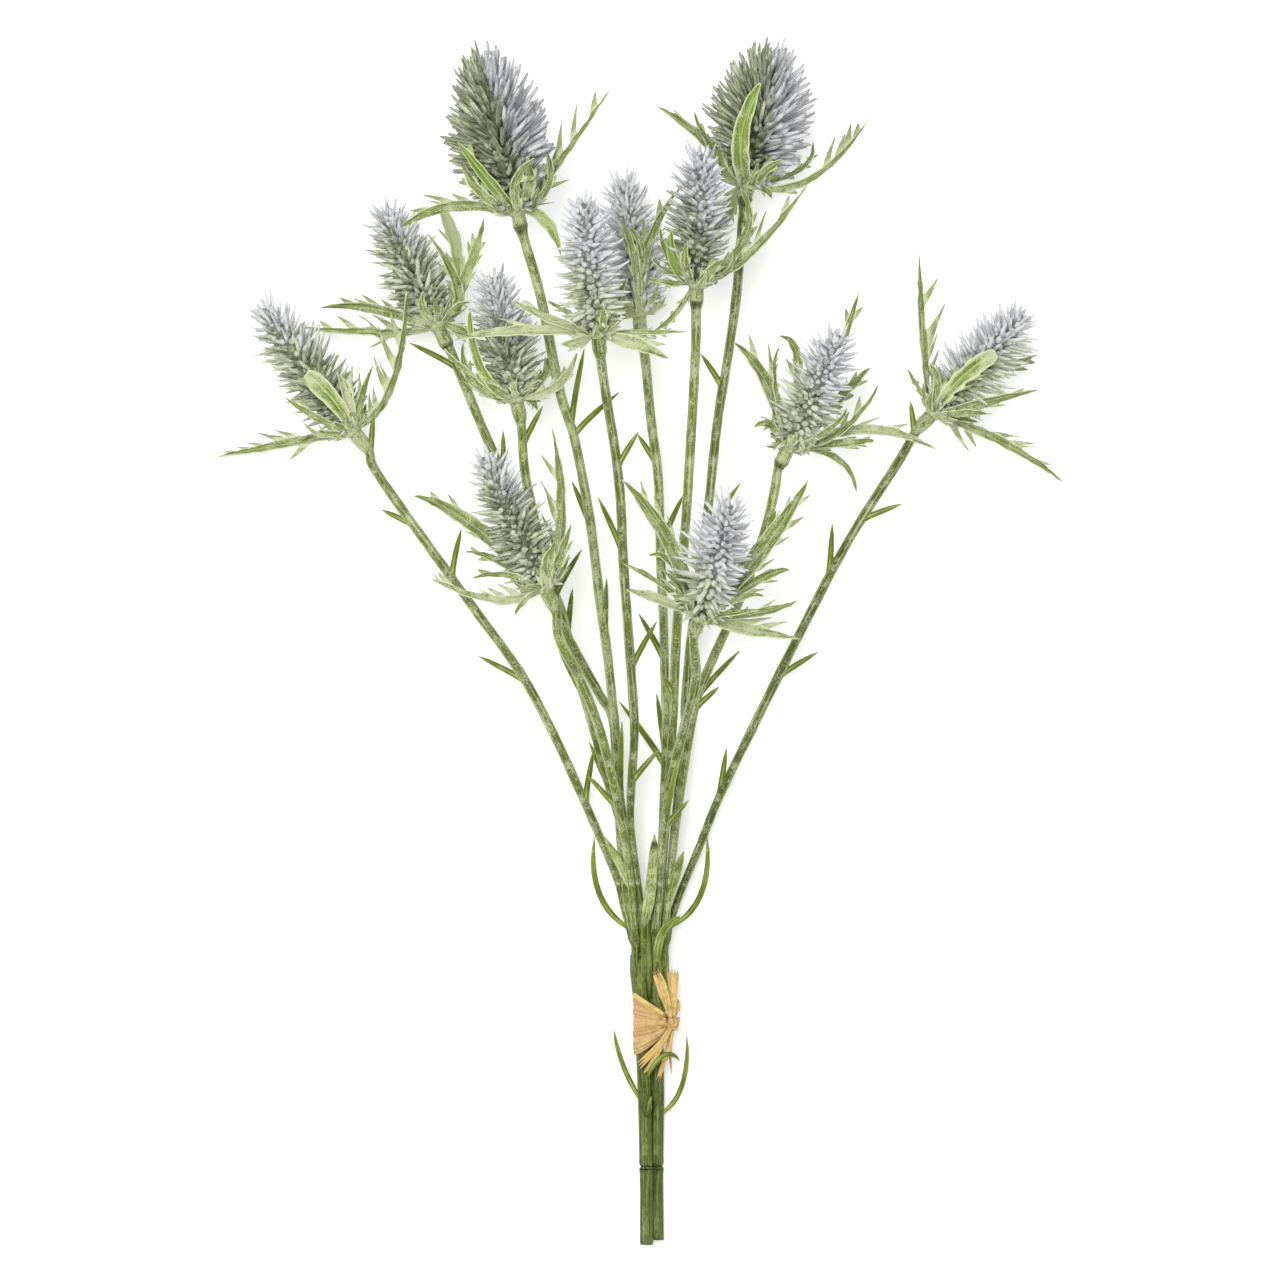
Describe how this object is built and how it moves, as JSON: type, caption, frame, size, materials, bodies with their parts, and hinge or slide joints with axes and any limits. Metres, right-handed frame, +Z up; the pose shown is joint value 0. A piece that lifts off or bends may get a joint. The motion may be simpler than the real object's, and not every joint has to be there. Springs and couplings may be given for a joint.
{
  "type": "sea holly bunch",
  "caption": "Bunch of cut sea holly: spiny cone flower heads over toothed bracts on thin branching stems with needle leaves, tied with raffia and lying down.",
  "frame": {"origin": "on the surface it lies on, under the middle of the bunch", "axes": "+Y along the bunch from the cut ends to the flower heads, +X across the bunch, +Z up from the surface it lies on"},
  "size_m": [0.3072, 0.436, 0.0777],
  "materials": {
    "stem": "olive green stem with pale frosting and fine streaks along it, needle leaves of a fresher yellow green",
    "bract": "sage green toothed blade, whitish frosting on midrib and edges, some blades a brighter green",
    "flower_head": "close spines, grey green below and frosted lavender grey towards the tip, matte",
    "raffia": "natural straw raffia, matte, fibres and creases along the strand"
  },
  "bodies": {
    "root": {"branch_1_stem": "stem", "branch_1_bracts": "bract", "branch_1_head": "flower_head", "branch_2_stem": "stem", "branch_2_bracts": "bract", "branch_2_head": "flower_head", "branch_3_stem": "stem", "branch_3_bracts": "bract", "branch_3_head": "flower_head", "branch_4_stem": "stem", "branch_4_bracts": "bract", "branch_4_head": "flower_head", "branch_5_stem": "stem", "branch_5_bracts": "bract", "branch_5_head": "flower_head", "branch_6_stem": "stem", "branch_6_bracts": "bract", "branch_6_head": "flower_head", "branch_7_stem": "stem", "branch_7_bracts": "bract", "branch_7_head": "flower_head", "branch_8_stem": "stem", "branch_8_bracts": "bract", "branch_8_head": "flower_head", "branch_9_stem": "stem", "branch_9_bracts": "bract", "branch_9_head": "flower_head", "branch_10_stem": "stem", "branch_10_bracts": "bract", "branch_10_head": "flower_head", "branch_11_stem": "stem", "branch_11_bracts": "bract", "branch_11_head": "flower_head", "branch_12_stem": "stem", "branch_12_bracts": "bract", "branch_12_head": "flower_head", "left_stem_foot": "stem", "left_main_stem": "stem", "right_stem_foot": "stem", "right_main_stem": "stem", "raffia_wrap": "raffia", "raffia_knot": "raffia", "raffia_loop": "raffia", "raffia_tail_upper_left": "raffia", "raffia_tail_upper_right": "raffia", "raffia_tail_lower_left": "raffia", "raffia_tail_lower_middle": "raffia", "raffia_tail_lower_right": "raffia"}
  },
  "joints": []
}
